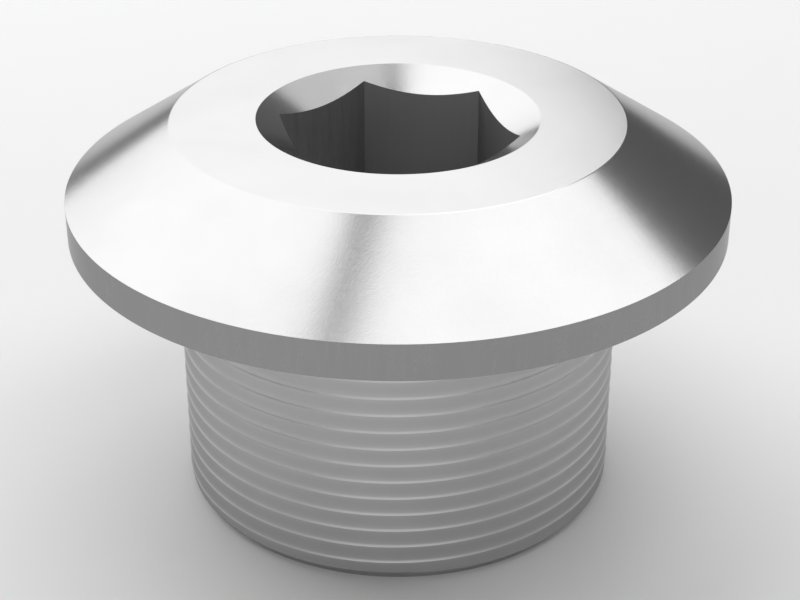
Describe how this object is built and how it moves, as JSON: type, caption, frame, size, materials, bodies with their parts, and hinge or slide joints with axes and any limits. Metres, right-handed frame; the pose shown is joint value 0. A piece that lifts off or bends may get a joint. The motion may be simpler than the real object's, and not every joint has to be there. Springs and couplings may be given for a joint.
{
  "type": "conduit plug",
  "caption": "Round screwed plug with a conical head, a countersunk hexagon socket and a fine-threaded shank, for closing a spare threaded conduit entry.",
  "frame": {"origin": "centre of the shank's end face, on the thread's axis, where the plug stands", "axes": "+Z along the thread's axis from the shank's end to the head, +X through a corner of the hexagon socket"},
  "size_m": [0.0531, 0.053, 0.0323],
  "materials": {
    "turned_steel": "fine-turned bare steel, satin, with faint lathe marks round its axis"
  },
  "bodies": {
    "root": {"plug_body": "turned_steel"}
  },
  "joints": []
}
